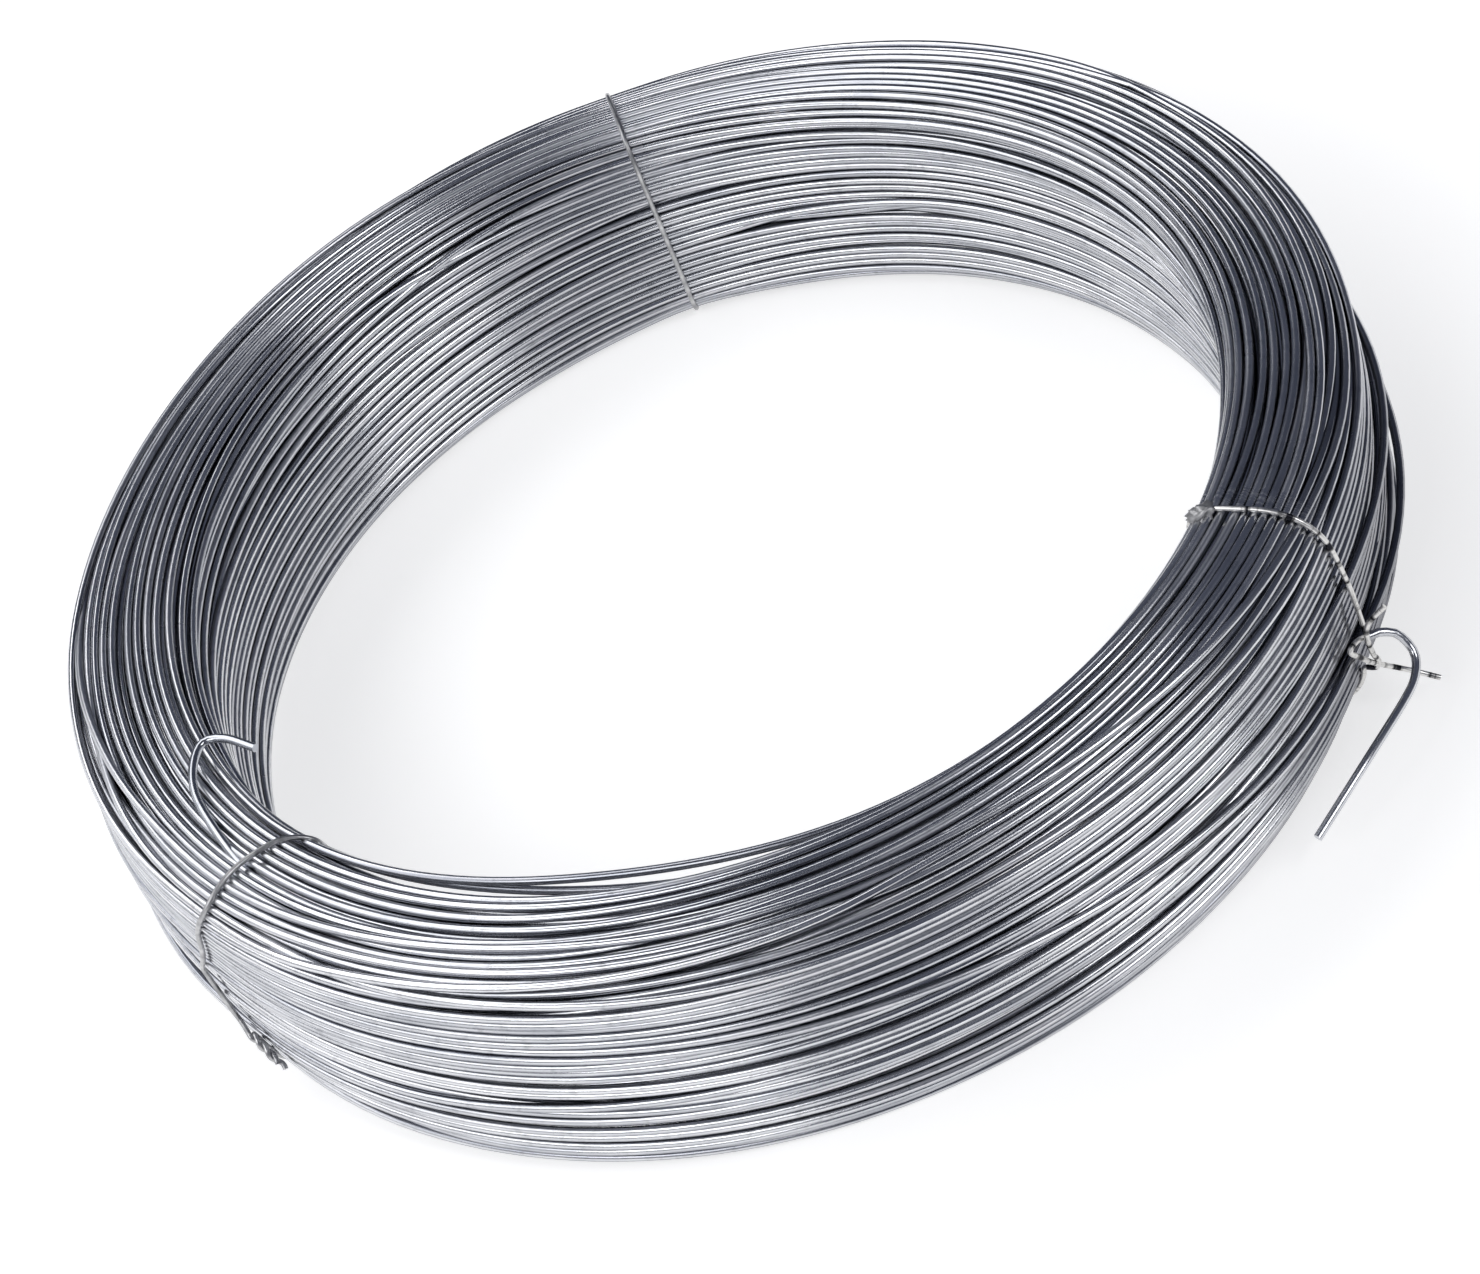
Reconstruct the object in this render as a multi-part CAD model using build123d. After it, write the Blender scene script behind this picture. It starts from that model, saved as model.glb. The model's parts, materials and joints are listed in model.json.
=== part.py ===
from build123d import *
import math
import os

# A tied coil of galvanised steel wire, lying flat with its eye upright.
# Millimetres, +Z up, with the origin at the centre of the face that it rests on.
# A bearing is an angle about +Z from the front (-Y), and it grows towards the right (+X).

# The wire, and the ties with the number of flats that make one round
wire_radius = 1.5
tie_radius = 0.9
tie_sides = 12

# The bundle of turns
bore_radius = 180.0
bundle_width = 45.0
coil_height = 91.0
corner_radius = 12.0
corner_bend_count = 3

# Turns that show across the upper end, across the lower end, up the outer wall and up the bore,
# how deep the gaps between them are, and the lands of those that bear on a floor or a drum
end_turns = 4
base_turns = 3
outer_turns = 4
bore_turns = 3
relief_share = 1.2
land_share = 0.45

# Air round a tie in the groove that it presses into the turns, and how far a cut overruns
tie_gap = 0.3
cut_overrun = 4.0

# Where each tie is, and the share of the coil's height that its knot is at
left_tie_bearing = -64.0
right_tie_bearing = 49.6
back_tie_bearing = 171.5
left_knot_share = 0.25
right_knot_share = 0.33
back_knot_share = 0.45
tie_bend_count = 2

# How far each tie's two ends stand out from the knot, and how far they run down or up
left_ends_out = 7.0
left_end_drop = 11.0
left_end_rise = 6.0
right_ends_out = 20.0
right_end_drop = 8.0
right_end_rise = 19.0
back_ends_out = 9.0
back_end_drop = 10.0
back_end_rise = 12.0

# The wire's outer end: it leaves the wall beside the right tie, folds back past it and runs forward
fold_past_tie = 2.4
outer_tip_before_tie = 16.4
outer_root_bury = 11.0
fold_stand_off = 18.0
outer_tip_stand_off = 12.5
outer_root_share = 0.4
fold_share = 0.19
outer_tip_share = 0.16
fold_setback = 10.0

# The wire's inner end: it rises out of the top turns, doubles back and points over the eye
inner_root_before_tie = 3.0
inner_bend_before_tie = 16.5
inner_tip_before_tie = 8.6
inner_root_from_bore = 23.0
inner_bend_from_bore = 4.0
inner_tip_overhang = 8.7
inner_root_sink = 2.2
inner_bend_lift = 1.0
inner_tip_lift = 1.6
inner_setback = 11.0

# Straight steps that make a bend of the wire
bend_step_count = 4

# Angles and shares
full_turn = 360.0
half_turn = 180.0
quarter_turn = 90.0
half_share = 0.5

# Worked out from the above
coil_outer_radius = bore_radius + bundle_width
inner_corner = bore_radius + corner_radius
outer_corner = coil_outer_radius - corner_radius
corner_height = coil_height - corner_radius
middle_radius = bore_radius + half_share * bundle_width
middle_height = half_share * coil_height
turn_relief = relief_share * wire_radius
tie_inset = tie_gap + tie_radius
seat_depth = tie_inset + tie_inset


def place(radius, bearing, height):
    """A point by its distance from the axis, its bearing and its height."""
    angle = math.radians(bearing)
    return Vector(radius * math.sin(angle), -radius * math.cos(angle), height)


def corner_points(centre_radius, first_angle, rounding, bends):
    """Bends that take an outline round an upper corner, with flats that touch the round from outside."""
    step = quarter_turn / bends
    reach = rounding / math.cos(math.radians(half_share * step))
    angles = [math.radians(first_angle - (bend + half_share) * step) for bend in range(bends)]
    return [(centre_radius + reach * math.cos(a), corner_height + reach * math.sin(a)) for a in angles]


def mirrored(points):
    """Points of the upper end carried over to the lower one."""
    return [(radius, coil_height - height) for radius, height in points]


def section_corner(centre_radius, first_angle):
    """The bends of one upper corner of the bundle's section."""
    spots = corner_points(centre_radius, first_angle, corner_radius, corner_bend_count)
    return [Vector(*spot) for spot in spots]


def lower_corner(corner):
    """An upper corner carried over to the lower end."""
    return [Vector(spot.X, coil_height - spot.Y) for spot in reversed(corner)]


def ridges(first, last, turns, share):
    """Turns side by side from one corner to the next, with gaps between and lands of a share of the pitch."""
    pitch = (last - first) / turns
    half_pitch = pitch * half_share
    gap = Vector(pitch.Y, -pitch.X).normalized() * turn_relief
    points = [first + gap]
    for turn in range(turns):
        crest = first + pitch * turn + half_pitch
        land = half_pitch * share
        points += [crest - land, crest + land] if share else [crest]
        points.append(crest + half_pitch + gap)
    return points


def side(corner, following, turns, share):
    """The bends of a corner, and the turns from it to the following corner."""
    _, *bends, first = corner
    return [*bends, *ridges(first, following[0], turns, share)]


def turns_section():
    """Half section of the bundle: turns across its ends and up its walls, with lands below and in the bore."""
    inner = section_corner(inner_corner, half_turn)
    outer = section_corner(outer_corner, quarter_turn)
    lower_outer, lower_inner = lower_corner(outer), lower_corner(inner)
    points = side(inner, outer, end_turns, 0) + side(outer, lower_outer, outer_turns, 0)
    points += side(lower_outer, lower_inner, base_turns, land_share)
    points += side(lower_inner, inner, bore_turns, land_share)
    return Plane.XZ * make_face(Polyline(*points, close=True))


def bundle_outline(inset):
    """The bundle's plain rounded section, drawn in by `inset` all round."""
    width = bundle_width - inset - inset
    height = coil_height - inset - inset
    outline = RectangleRounded(width, height, corner_radius - inset)
    return Plane.XZ * (Pos(middle_radius, middle_height) * outline)


def tie_seat(bearing):
    """The groove round the section that one tie has pulled into the turns."""
    ring = bundle_outline(-cut_overrun) - bundle_outline(seat_depth)
    groove = extrude(ring, amount=tie_inset, both=True)
    return Rot(0, 0, bearing - quarter_turn) * groove


def bar(section, points):
    """A wire of a given section, mitred at each point of its path."""
    path = Polyline(*points)
    start = Plane(origin=path @ 0, z_dir=path % 0)
    return sweep(start * section, path=path, transition=Transition.RIGHT)


def tie_wire(bearing, knot_share, ends_out, drop, rise):
    """One tie: a loop pulled tight round the bundle, whose ends cross at the knot and stand out."""
    inner = corner_points(inner_corner, half_turn, corner_radius - tie_inset, tie_bend_count)
    outer = corner_points(outer_corner, quarter_turn, corner_radius - tie_inset, tie_bend_count)
    wall = coil_outer_radius - tie_inset
    knot_height = knot_share * coil_height
    start = (middle_radius, tie_inset)
    knot = (wall, knot_height)
    rising = [start, *mirrored(outer), knot, (wall + ends_out, knot_height + rise)]
    falling = [start, *mirrored(reversed(inner)), *inner, *outer, knot]
    falling.append((wall + ends_out, knot_height - drop))
    section = RegularPolygon(tie_radius, tie_sides)
    halves = [bar(section, [Vector(r, 0, z) for r, z in half]) for half in (rising, falling)]
    return Rot(0, 0, bearing - quarter_turn) * (halves[0] + halves[-1])


def bent_end(root, corner, tip, setback):
    """An end of the wire from its root to its tip, eased round one bend in straight steps."""
    start = corner + (root - corner).normalized() * setback
    end = corner + (tip - corner).normalized() * setback
    points = [root]
    for step in (*range(bend_step_count), bend_step_count):
        share = step / bend_step_count
        near = start + (corner - start) * share
        far = corner + (end - corner) * share
        points.append(near + (far - near) * share)
    return bar(Circle(wire_radius), [*points, tip])


def outer_end():
    """The outer end of the wire, folded back past the right tie."""
    fold_bearing = right_tie_bearing + fold_past_tie
    tip_bearing = right_tie_bearing - outer_tip_before_tie
    root = place(coil_outer_radius - outer_root_bury, fold_bearing, outer_root_share * coil_height)
    fold = place(coil_outer_radius + fold_stand_off, fold_bearing, fold_share * coil_height)
    tip = place(coil_outer_radius + outer_tip_stand_off, tip_bearing, outer_tip_share * coil_height)
    return bent_end(root, fold, tip, fold_setback)


def inner_end():
    """The inner end of the wire, doubled back over the top turns to point over the eye."""
    root_bearing = left_tie_bearing - inner_root_before_tie
    bend_bearing = left_tie_bearing - inner_bend_before_tie
    tip_bearing = left_tie_bearing - inner_tip_before_tie
    root = place(bore_radius + inner_root_from_bore, root_bearing, coil_height - inner_root_sink)
    bend = place(bore_radius + inner_bend_from_bore, bend_bearing, coil_height + inner_bend_lift)
    tip = place(bore_radius - inner_tip_overhang, tip_bearing, coil_height + inner_tip_lift)
    return bent_end(root, bend, tip, inner_setback)


def wire_coil():
    """The whole wire: the turned bundle with its eye, its tie grooves and its two ends."""
    bundle = revolve(turns_section(), Axis.Z, full_turn)
    for bearing in (left_tie_bearing, right_tie_bearing, back_tie_bearing):
        bundle -= tie_seat(bearing)
    return bundle + outer_end() + inner_end()


left_tie = tie_wire(left_tie_bearing, left_knot_share, left_ends_out, left_end_drop, left_end_rise)
right_tie = tie_wire(right_tie_bearing, right_knot_share, right_ends_out, right_end_drop, right_end_rise)
back_tie = tie_wire(back_tie_bearing, back_knot_share, back_ends_out, back_end_drop, back_end_rise)

os.makedirs("parts", exist_ok=True)
export_step(wire_coil(), "parts/wire_coil.step")
export_step(left_tie, "parts/tie_wire_left.step")
export_step(right_tie, "parts/tie_wire_right.step")
export_step(back_tie, "parts/tie_wire_back.step")
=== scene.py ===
"""Looks of a tied coil of galvanised wire: every turn, the ties and their knots, finish, light and camera.

Lengths are in metres and +Z is up. A bearing is an angle in degrees about +Z from the front (-Y), and it
grows to the right (+X). A spot is a place in the bundle's section, outwards and up from its middle.
"""

import json
import math

import bpy
import numpy as np
from mathutils import Matrix, Vector


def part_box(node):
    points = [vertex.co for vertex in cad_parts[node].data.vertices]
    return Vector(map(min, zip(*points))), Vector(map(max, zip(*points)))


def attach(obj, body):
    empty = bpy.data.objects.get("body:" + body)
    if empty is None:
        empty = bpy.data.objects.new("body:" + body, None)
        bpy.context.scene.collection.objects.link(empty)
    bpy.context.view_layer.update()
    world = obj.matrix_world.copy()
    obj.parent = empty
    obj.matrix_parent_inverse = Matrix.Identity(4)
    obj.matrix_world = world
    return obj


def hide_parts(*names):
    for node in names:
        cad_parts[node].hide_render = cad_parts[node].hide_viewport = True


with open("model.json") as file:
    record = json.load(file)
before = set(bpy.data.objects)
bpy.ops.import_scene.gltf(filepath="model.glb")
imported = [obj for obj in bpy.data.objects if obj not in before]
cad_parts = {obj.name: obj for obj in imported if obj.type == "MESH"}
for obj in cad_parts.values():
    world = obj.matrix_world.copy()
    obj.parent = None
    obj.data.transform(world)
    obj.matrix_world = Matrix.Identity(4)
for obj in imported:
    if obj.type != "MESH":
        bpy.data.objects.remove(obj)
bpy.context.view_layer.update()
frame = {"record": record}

# Sizes that the frame gives
MILLIMETRES = 1000
EYE = next(mount for mount in frame["record"]["mounts"] if mount["name"] == "coil_eye")
COIL_LOW, COIL_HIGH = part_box("wire_coil")
BORE_RADIUS = EYE["dims"]["r_mm"] / MILLIMETRES
OUTER_RADIUS = (COIL_HIGH.x - COIL_LOW.x) / 2
COIL_HEIGHT = 2 * EYE["pos_m"][2]
MIDDLE_RADIUS = (OUTER_RADIUS + BORE_RADIUS) / 2
BUNDLE_WIDTH = OUTER_RADIUS - BORE_RADIUS

# The wire and its ties, and the slices that each turn is worked out in
WIRE_RADIUS = 0.0015
WIRE_DIAMETER = 2 * WIRE_RADIUS
TIE_RADIUS = 0.0009
TURNS = 350
SLICES = 180

# Seeds of what is drawn at random
ROUTE_SEED = 7
TINT_SEED = 8
LUMP_SEED = 9
RECESS_SEED = 10

# Roundings of the bundle's section: as laid out, as settled by the bore and outside, and at the right tie
SECTION_CORNER = 0.012
CORNER_POINTS = 13
BORE_CORNER = 0.010
OUTER_CORNER = 0.014
RIGHT_TIE_ROUNDING = 0.006
RIGHT_TIE_SPREAD = 25

# Layers from the skin inwards: a turn's room, the step to the next layer, and crowding on walls and ends
SKIN_LAYERS = 3
SKIN_PITCH = 1.09 * WIRE_DIAMETER
CORE_PITCH = 1.24 * WIRE_DIAMETER
SKIN_STEP = 0.92 * WIRE_DIAMETER
CORE_STEP = 1.1 * WIRE_DIAMETER
WALL_CROWDING = 1.04
END_CROWDING = 0.93

# How turns wander: together, each along the section and in depth, and back from the skin, over what angle
SWAY = 0.006
SWAY_WAVES = (1, 2, 3)
WANDER_ALONG = 0.0009
WANDER_DEEP = 0.0012
WANDER_SPAN = 80.0
RECESS = 0.0007
RECESS_SPAN = 45.0

# Strays that cross their neighbours: how many, from which turn, over what angle and by how many wires,
# where the bore is on the skin, its share of a step, how proud strays lie, and how many turns close a gap
STRAY_COUNT = 26
FIRST_STRAY = 2
STRAY_SPANS = (35, 80)
STRAY_STEPS = (2, 6)
BORE_TURNS = (0.38, 0.76)
BORE_STRAY_SHARE = 0.3
PROUD_SPREAD = 1.5
PROUD_SLACK = 0.6 * WIRE_DIAMETER
CLOSING_REACH = 6

# The first turn, by share of the turn: its shift along the section, how far out of its place, how proud
FIRST_TURN_SHIFT = ((0, 0.08, 0.17, 0.25, 0.7, 1), (0, 0.016, 0.026, 0.029, 0.029, 0))
FIRST_TURN_MOVED = ((0, 0.03, 0.95, 1), (0, 1, 1, 0))
FIRST_TURN_PROUD = ((0, 0.7, 1), (1, 1, 0))

# Settling: rounds, how often near turns are looked up, how close they may be, the pull back while it lasts,
# then the strokes and shares of easing and pushing
ROUNDS = 90
LOOK_EVERY = 6
NEAR = 1.5 * WIRE_DIAMETER
CLEARANCE = 1.06 * WIRE_DIAMETER
PULL = 0.02
PULL_ROUNDS = 0.7 * ROUNDS
EASE_SHARE = 0.5
EASE_STROKES = 5
PUSH_SHARE = 0.3
PUSH_STROKES = 2
LAST_SHARE = 0.25
LAST_STROKES = 4
FINAL_EASE_STROKES = 6

# Lengths that keep a division from zero
LEAST_REACH = 1e-9
LEAST_SPACE = 1e-7

# The ties: bearings, how deep they pinch the underside, the share of that elsewhere, and over what angle
TIE_BEARINGS = {"left": -64.0, "right": 49.6, "back": 171.5}
PINCH_DEPTH = 0.0024
TIE_DRAW = 0.4
PINCH_SPAN = 9.0

# Loose turns: on the bore (-1) or the outer wall (1), height, bearing, span and how far they spring off
LOOSE_TURNS = (
    (-1, 0.084, -22.0, 26.0, 0.0075), (-1, 0.080, -30.0, 26.0, 0.0050), (-1, 0.074, -24.0, 20.0, 0.0045),
    (1, 0.024, -88.0, 24.0, 0.0030), (1, 0.038, -92.0, 28.0, 0.0025), (1, 0.052, -84.0, 24.0, 0.0020),
    (1, 0.056, 68.0, 20.0, 0.0045), (1, 0.030, 64.0, 24.0, 0.0040), (1, 0.074, 104.0, 24.0, 0.0030),
)

# Where the turns start: under the right tie, a little below the middle of the outer wall
START_BEARING = TIE_BEARINGS["right"]
START_LENGTH = -0.0145

# Ends, listed as (radius, bearing, height) in millimetres: the outer one, and the inner one above the top
OUTER_END = (
    (238, 33.4, 14.3), (240, 40.1, 20.0), (241, 46.6, 18.6), (241, 49.2, 18.0),
    (239.5, 50.9, 19.5), (237, 51.5, 23.2), (233.5, 51.5, 27.6), (229.5, 50.9, 30.0),
)
INNER_END = (
    (204, -56, -7), (201.5, -62, -4), (199, -67, -0.5), (196, -72, 1.8),
    (190.7, -75.6, 2.8), (184, -77.7, 3.0), (177.3, -76.4, 3.0), (171.5, -72.5, 2.6),
)
INNER_END_TINT = -0.5

# The right tie's ends in the same way: one loops round the wire's outer end and stands out, one turns up
STRAIGHT_TIE_END = (
    (245, 51.4, 8.2), (237.0, 51.0, 12.5), (230.5, 49.9, 19.2), (229.6, 48.6, 26.0),
    (229.2, 46.9, 36.0), (228.4, 46.2, 41.0), (229.0, 47.2, 41.5), (229.4, 48.8, 37.5),
)
SHORT_TIE_END = (
    (228.4, 49.4, 20.0), (230.4, 49.2, 24.5), (231.0, 48.4, 31.0), (231.2, 48.0, 39.5),
    (231.8, 48.2, 44.6), (234.0, 48.7, 47.4), (237.5, 49.2, 50.4),
)

# How each tie leans from its bearing, as (angle round the section, degrees of bearing)
RIGHT_LEAN = ((-35, 0.1), (60, -0.2), (115, -1.3), (180, -1.2), (250, -0.6), (320, -0.4))
LEFT_LEAN = (
    (-46, 0.6), (-39, -1.6), (9, -2.9), (56, 1.2), (67, 2.7), (90, 2.2),
    (110, 3.5), (118, 5.6), (180, 4.0), (270, 1.0), (314, 0.8),
)
BACK_LEAN = ((-30, 0.3), (67, 0.9), (118, -0.3), (240, -0.3), (328, 0.2))

# Each tie's loop, from which angle of the section to which
RIGHT_SPAN = (-24, 316)
LEFT_SPAN = (-40, 314)
BACK_SPAN = (-8, 340)

# Twisted tie ends: where a twist starts and finishes, as (out from the wall, bearing, height), and the turns
# of its two strands; the left tie's strands lie closer, and its second one is shorter
LEFT_TWIST = ((0.0024, -63.2, 0.0255), (0.0022, -60.4, 0.0150))
LEFT_STRAND_TURNS = (1.75, 1.4)
LEFT_SPREAD = 0.8 * TIE_RADIUS
LEFT_SECOND_SHARE = 0.8
BACK_TWIST = ((0.0025, TIE_BEARINGS["back"], 0.041), (0.0095, TIE_BEARINGS["back"] - 1.0, 0.033))
BACK_STRAND_TURNS = (2.0, 1.8)

# Meshes: sides of a wire from the skin inwards, of a free end and of a tie, and triangles for one piece
LAYER_SIDES = (8, 8, 6, 5)
END_SIDES = 12
TIE_SIDES = 10
PIECE_TRIANGLES = 150000

# Lines: spacing of points on free ends and ties, degrees between a tie's points, how often it is eased,
# degrees between points round a wire, points on each side of a hull, and points in one turn of a twist
END_SPACING = 0.002
TIE_SPACING = 0.001
TIE_STEP = 4.0
TIE_EASINGS = 2
RIM_STEP = 20
HULL_POINTS = 12
STRAND_POINTS = 14

# The zinc: noise scales along a wire and from wire to wire with their detail, and how marks change its look
STREAK = (40.0, 90.0, 4.0)
PATCH = (9.0, 31.0, 2.0)
PATCH_RANGE = (0.35, 0.65)
PATCH_SMOOTHER = 0.07
PATCH_ROUGHER = 0.09
TINT_SHARE = 0.45
TIE_GRAIN = 4.0

# Grime in specks, and painted shade by the right tie, in the crevices and deep in the bundle
SPECK_SCALE = 190.0
SPECK_DETAIL = 2.0
SPECK_ROUGHNESS = 0.65
SPECK_RANGE = (0.58, 0.72)
SPECK_COLOUR = (0.05, 0.05, 0.06)
# Painted shade on the right outer wall, round the right tie
RIGHT_WALL_SHADE_BEARING = 60.0
RIGHT_WALL_SHADE_OUT = 0.02
RIGHT_WALL_SHADE_HEIGHT = -0.02
RIGHT_WALL_SHADE_REACH = 0.14
RIGHT_WALL_SHADE_CORE = 0.35 * RIGHT_WALL_SHADE_REACH
RIGHT_WALL_SHADE_AMOUNT = 0.66
RIGHT_WALL_SHADE_COLOUR = (0.06, 0.06, 0.08)
# Painted shade in the crevices between turns and on each wire's underside
FLANK_SHADE_FADE = (0.6, 0.15)
UNDERSIDE_SHADE_FADE = (0.4, -0.45)
UNDERSIDE_SHADE_SHARE = 0.85
CREVICE_SHADE_AMOUNT = 0.58
CREVICE_SHADE_COLOUR = (0.04, 0.05, 0.09)
# Painted shade deep in the bundle, growing with how far a slice lies under the skin
BURIED_SHADE_FROM = 2.2 * WIRE_RADIUS
BURIED_SHADE_OVER = 4.5 * WIRE_DIAMETER
BURIED_SHADE_COLOUR = (0.022, 0.028, 0.055)

# How much a spot's own place in the section counts in its way out, which is all there is deep inside
RIM_LEAN = 0.01

# The zinc lump on the right tie: rows and columns, the waves on it, its place and its half sizes
LUMP_ROWS = 14
LUMP_COLUMNS = 22
LUMP_WAVES = 10
LUMP_WAVE_HEIGHT = 0.1
LUMP_WAVE_PITCH = 6
LUMP_BEARING = TIE_BEARINGS["right"] - 1.4
LUMP_FROM_BORE = 0.0066
LUMP_BELOW_TOP = 0.0026
LUMP_SIZES = (0.0048, 0.0038, 0.0025)
LUMP_TILT = (0.8, 0.6)

# The studio
FLOOR_REACH = 30.0
FLOOR_TONE = 0.62
FLOOR_GLOW = 0.62
STUDIO_COLOUR = (0.072, 0.08, 0.112)
BOX_DISTANCE = 3.0

# The photo's view, with its focal length, centre and size in the photo's own points
VIEW_ELEVATION = 41.21
VIEW_ROLL = 0.4152
VIEW_DISTANCE = 5.619 * OUTER_RADIUS
VIEW_FOCAL = 3707.0
VIEW_CENTRE = (723.1, 549.3)
VIEW_SIZE = (1480.0, 1274.0)
SENSOR_WIDTH = 36.0


def polar(radius, bearing, height):
    """Points by distance from the axis, bearing in degrees and height."""
    angle = np.radians(bearing)
    return np.stack([radius * np.sin(angle), -radius * np.cos(angle), height + 0 * angle], axis=-1)


# The route of the wire

def outline(inset):
    """The bundle's rounded section, drawn in by `inset`: its points and how much wire lies along them.

    It starts half way up the outer wall and goes up, over the top, down the bore and back under.
    """
    corner = max(SECTION_CORNER - inset, WIRE_RADIUS)
    across = BUNDLE_WIDTH / 2 - inset - corner
    up = COIL_HEIGHT / 2 - inset - corner
    points = [(across + corner, 0.0)]
    for quarter, (side, end) in enumerate(((1, 1), (-1, 1), (-1, -1), (1, -1))):
        for angle in np.linspace(0, math.pi / 2, CORNER_POINTS) + quarter * math.pi / 2:
            points.append((side * across + corner * math.cos(angle), end * up + corner * math.sin(angle)))
    points.append(points[0])
    points = np.array(points)
    steps = np.diff(points, axis=0)
    flatness = np.abs(steps[:, 0]) / np.linalg.norm(steps, axis=1)
    crowding = WALL_CROWDING + (END_CROWDING - WALL_CROWDING) * flatness
    lengths = np.concatenate([[0], np.cumsum(np.linalg.norm(steps, axis=1) * crowding)])
    return points, lengths


def layer_plan():
    """The layers from the skin inwards, as (first turn, number of turns, inset)."""
    plan, first, inset = [], 0, WIRE_RADIUS
    while first < TURNS:
        skin = len(plan) < SKIN_LAYERS
        room = outline(inset)[1][-1]
        turns = min(max(int(room / (SKIN_PITCH if skin else CORE_PITCH)), 1), TURNS - first)
        plan.append((first, turns, inset))
        first += turns
        inset = min(inset + (SKIN_STEP if skin else CORE_STEP), BUNDLE_WIDTH / 2 - WIRE_RADIUS)
    return plan


def wandering(rng, count, span):
    """Smooth random numbers along the wire, of about unit size, that change over `span` degrees."""
    slices = span / 360 * SLICES
    knots = rng.normal(size=int(count / slices) + 3)
    place = np.arange(count) / slices
    low = place.astype(int)
    share = place - low
    share = share * share * (3 - 2 * share)
    return knots[low] * (1 - share) + knots[low + 1] * share


def swaying(rng, place, length, angle):
    """A slow shift along the section that neighbouring turns share: they bunch and spread together."""
    shift = np.zeros(len(place))
    for waves in SWAY_WAVES:
        for turns in SWAY_WAVES:
            start = rng.uniform(0, 2 * math.pi, 2)
            size = rng.normal() / math.sqrt(waves * turns)
            wave = np.sin(2 * math.pi * waves * place / length + start[0])
            shift += size * wave * np.cos(turns * angle + start[1])
    return SWAY / 2 * shift


def strayed(rng, turn, along, skin_turns):
    """Adds the strays' shifts to `along`, and gives how far each slice is out of its place and how proud."""
    proud = np.zeros(len(turn))
    moved = np.zeros(len(turn))
    for _ in range(STRAY_COUNT):
        middle = rng.uniform(FIRST_STRAY, skin_turns)
        span = rng.uniform(*STRAY_SPANS) / 360
        bump = np.exp(-((turn - middle) / span) ** 2)
        step = rng.choice((-1, 1)) * rng.uniform(*STRAY_STEPS) * bump
        if BORE_TURNS[0] < middle / skin_turns < BORE_TURNS[1]:
            step *= BORE_STRAY_SHARE
        along += step * WIRE_DIAMETER
        moved = np.maximum(moved, np.minimum(np.abs(step), 1))
        proud = np.maximum(proud, np.exp(-((turn - middle) / span / PROUD_SPREAD) ** 4))
    return moved, proud


def closed_up(moved):
    """How far the skin's other turns shift to fill the places that turns have moved out of."""
    shift = np.zeros(len(moved))
    for away in range(1, CLOSING_REACH + 1):
        share = SKIN_PITCH / 2 * (1 - (away - 1) / CLOSING_REACH)
        shift += share * (np.roll(moved, -away * SLICES) - np.roll(moved, away * SLICES))
    return shift


def laid_out(rng, turn, along, deep):
    """Spots of the whole wire, layer by layer, from its shifts along the section and its depths."""
    angle = -2 * math.pi * turn
    route = np.zeros((len(turn), 2))
    for layer, (first, turns, inset) in enumerate(layer_plan()):
        run = slice(first * SLICES, (first + turns) * SLICES)
        points, lengths = outline(inset)
        way = 1 if layer % 2 == 0 else -1
        place = START_LENGTH + way * (turn[run] - first) / turns * lengths[-1]
        place = np.mod(place + swaying(rng, place, lengths[-1], angle[run]) + along[run], lengths[-1])
        spot = np.stack([np.interp(place, lengths, points[:, axis]) for axis in (0, 1)], axis=1)
        inwards = -spot / np.linalg.norm(spot, axis=1, keepdims=True)
        route[run] = spot + inwards * deep[run, None]
    return route


def wanted_route(rng):
    """Where each slice of the wire would lie if turns could pass through each other, and how loose it is."""
    count = TURNS * SLICES
    turn = np.arange(count) / SLICES
    along = WANDER_ALONG * wandering(rng, count, WANDER_SPAN)
    deep = WANDER_DEEP * wandering(rng, count, WANDER_SPAN)
    skin_turns = layer_plan()[0][1]
    moved, proud = strayed(rng, turn, along, skin_turns)
    first_turn = np.clip(turn, 0, 1)
    along += np.interp(first_turn, *FIRST_TURN_SHIFT)
    moved = np.maximum(moved, np.interp(first_turn, *FIRST_TURN_MOVED))
    skin = slice(0, skin_turns * SLICES)
    along[skin] += closed_up(moved[skin])
    proud = np.maximum(proud, np.interp(first_turn, *FIRST_TURN_PROUD))
    deep -= WIRE_DIAMETER * proud
    return laid_out(rng, turn, along, deep), PROUD_SLACK * proud


def bearings():
    """The bearing of each slice: the wire runs backwards from its outer end."""
    return START_BEARING - 360 * np.arange(SLICES) / SLICES


def pinch():
    """How far the ties draw the bundle in at each slice."""
    depth = np.zeros(SLICES)
    for tie in TIE_BEARINGS.values():
        away = (bearings() - tie + 180) % 360 - 180
        depth = np.maximum(depth, PINCH_DEPTH * np.exp(-(away / PINCH_SPAN) ** 2))
    return depth


def corners(spots):
    """The rounding of the section's corners: tight by the bore, wide outside and widest at the right tie."""
    away = (bearings() - TIE_BEARINGS["right"] + 180) % 360 - 180
    outer = OUTER_CORNER + RIGHT_TIE_ROUNDING * np.exp(-(away / RIGHT_TIE_SPREAD) ** 2)
    return np.where(spots[..., 0] > 0, outer[None, :], BORE_CORNER) - WIRE_RADIUS


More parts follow.
